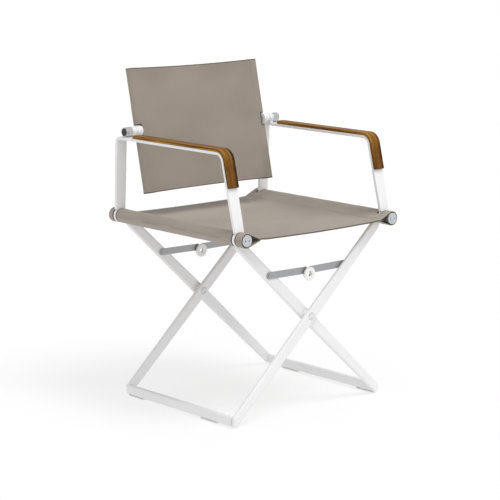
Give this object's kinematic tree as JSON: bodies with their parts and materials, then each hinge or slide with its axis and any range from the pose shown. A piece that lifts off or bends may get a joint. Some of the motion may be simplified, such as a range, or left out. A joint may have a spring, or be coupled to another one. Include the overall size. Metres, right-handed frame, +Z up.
{
  "type": "folding director chair",
  "caption": "Folding director chair with crossed legs, sling seat, tilting cloth back clamped by side knobs, wood-topped arms and ring-locked struts.",
  "frame": {"origin": "on the floor under the middle of the chair", "axes": "+Z up, -Y towards the front, +X towards the sitter's left"},
  "size_m": [0.5414, 0.54, 0.8715],
  "materials": {
    "frame_paint": "satin powder coat",
    "grey_metal": "brushed satin",
    "pivot_metal": "satin",
    "steel": "brushed",
    "knob_metal": "knurled",
    "knob_dark": "matt",
    "cap_plastic": "satin moulded",
    "white_plastic": "satin moulded",
    "foot_plastic": "matt",
    "wood": "oiled teak",
    "fabric": "woven sling cloth"
  },
  "bodies": {
    "pivots": {"crossing_bolt_rear": "pivot_metal", "crossing_bolt_front": "pivot_metal", "crossing_screw_rear": "pivot_metal", "crossing_screw_front": "pivot_metal", "crossing_spacer_rear": "white_plastic", "crossing_spacer_front": "white_plastic"},
    "left_foot_frame": {"leg_rear_on_left_foot": "frame_paint", "leg_front_on_left_foot": "frame_paint", "foot_bar_left": "frame_paint", "foot_glides_left": "foot_plastic", "strut_rivets_left_foot": "grey_metal", "leg_bushes_right": "white_plastic"},
    "right_foot_frame": {"leg_rear_on_right_foot": "frame_paint", "leg_front_on_right_foot": "frame_paint", "foot_bar_right": "frame_paint", "foot_glides_right": "foot_plastic", "strut_rivets_right_foot": "grey_metal", "leg_bushes_left": "white_plastic"},
    "side_right": {"seat_rail_right": "grey_metal", "rail_shaft_right": "steel", "rail_end_caps_right": "cap_plastic", "arm_right": "frame_paint", "armrest_wood_right": "wood", "armrest_screws_right": "steel", "back_hinge_boss_right": "frame_paint", "back_hinge_washers_right": "white_plastic", "seat_cloth": "fabric"},
    "back_right": {"back_tube_right": "frame_paint", "back_tube_plugs_right": "cap_plastic", "back_hinge_pin_right": "steel", "back_cloth": "fabric"},
    "knob_right": {"back_knob_right": "knob_metal", "back_knob_face_right": "knob_dark", "back_knob_screw_right": "steel"},
    "side_left": {"seat_rail_left": "grey_metal", "rail_shaft_left": "steel", "rail_end_caps_left": "cap_plastic", "arm_left": "frame_paint", "armrest_wood_left": "wood", "armrest_screws_left": "steel", "back_hinge_boss_left": "frame_paint", "back_hinge_washers_left": "white_plastic"},
    "back_left": {"back_tube_left": "frame_paint", "back_tube_plugs_left": "cap_plastic", "back_hinge_pin_left": "steel"},
    "knob_left": {"back_knob_left": "knob_metal", "back_knob_face_left": "knob_dark", "back_knob_screw_left": "steel"},
    "strut_rear_a": {"strut_rear_half_a": "grey_metal"},
    "strut_rear_b": {"strut_rear_half_b": "grey_metal", "strut_ring_rear": "white_plastic"},
    "strut_front_a": {"strut_front_half_a": "grey_metal"},
    "strut_front_b": {"strut_front_half_b": "grey_metal", "strut_ring_front": "white_plastic"}
  },
  "joints": [
    {"name": "fold", "type": "hinge", "parent": "pivots", "child": "left_foot_frame", "pos_m": [0, 0, 0.252], "axis": [0, 1, 0], "range_deg": [0, 35], "deforming": ["seat_cloth", "back_cloth"]},
    {"name": "fold_right_foot", "type": "hinge", "parent": "left_foot_frame", "child": "right_foot_frame", "pos_m": [0, 0, 0.252], "axis": [0, 1, 0], "range_deg": [-70, 0]},
    {"name": "rail_turn_right", "type": "hinge", "parent": "left_foot_frame", "child": "side_right", "pos_m": [-0.252, 0, 0.484], "axis": [0, 1, 0], "range_deg": [-35, 0]},
    {"name": "rail_turn_left", "type": "hinge", "parent": "right_foot_frame", "child": "side_left", "pos_m": [0.252, 0, 0.484], "axis": [0, 1, 0], "range_deg": [0, 35]},
    {"name": "strut_rear_a_turn", "type": "hinge", "parent": "left_foot_frame", "child": "strut_rear_a", "pos_m": [-0.1315, 0.217, 0.37306], "axis": [0, 1, 0], "range_deg": [-112.5, 0]},
    {"name": "strut_rear_b_turn", "type": "hinge", "parent": "right_foot_frame", "child": "strut_rear_b", "pos_m": [0.1315, 0.217, 0.37306], "axis": [0, 1, 0], "range_deg": [0, 112.5]},
    {"name": "strut_front_a_turn", "type": "hinge", "parent": "left_foot_frame", "child": "strut_front_a", "pos_m": [-0.1315, -0.217, 0.37306], "axis": [0, 1, 0], "range_deg": [-112.5, 0]},
    {"name": "strut_front_b_turn", "type": "hinge", "parent": "right_foot_frame", "child": "strut_front_b", "pos_m": [0.1315, -0.217, 0.37306], "axis": [0, 1, 0], "range_deg": [0, 112.5]},
    {"name": "back_tilt_right", "type": "hinge", "parent": "side_right", "child": "back_right", "pos_m": [-0.222, 0.203, 0.7095], "axis": [1, 0, 0], "range_deg": [-12, 12]},
    {"name": "knob_turn_right", "type": "hinge", "parent": "back_right", "child": "knob_right", "pos_m": [-0.256, 0.203, 0.7095], "axis": [1, 0, 0], "range_deg": [0, 180]},
    {"name": "back_tilt_left", "type": "hinge", "parent": "side_left", "child": "back_left", "pos_m": [0.222, 0.203, 0.7095], "axis": [1, 0, 0], "range_deg": [-12, 12]},
    {"name": "knob_turn_left", "type": "hinge", "parent": "back_left", "child": "knob_left", "pos_m": [0.256, 0.203, 0.7095], "axis": [1, 0, 0], "range_deg": [0, 180]}
  ],
  "couplings": [
    {"joint": "fold_right_foot", "follows": "fold", "ratio": -2},
    {"joint": "rail_turn_right", "follows": "fold", "ratio": -1},
    {"joint": "rail_turn_left", "follows": "fold", "ratio": 1},
    {"joint": "strut_rear_a_turn", "follows": "fold", "ratio": -3.214},
    {"joint": "strut_rear_b_turn", "follows": "fold", "ratio": 3.214},
    {"joint": "strut_front_a_turn", "follows": "fold", "ratio": -3.214},
    {"joint": "strut_front_b_turn", "follows": "fold", "ratio": 3.214},
    {"joint": "back_tilt_left", "follows": "back_tilt_right", "ratio": 1}
  ]
}
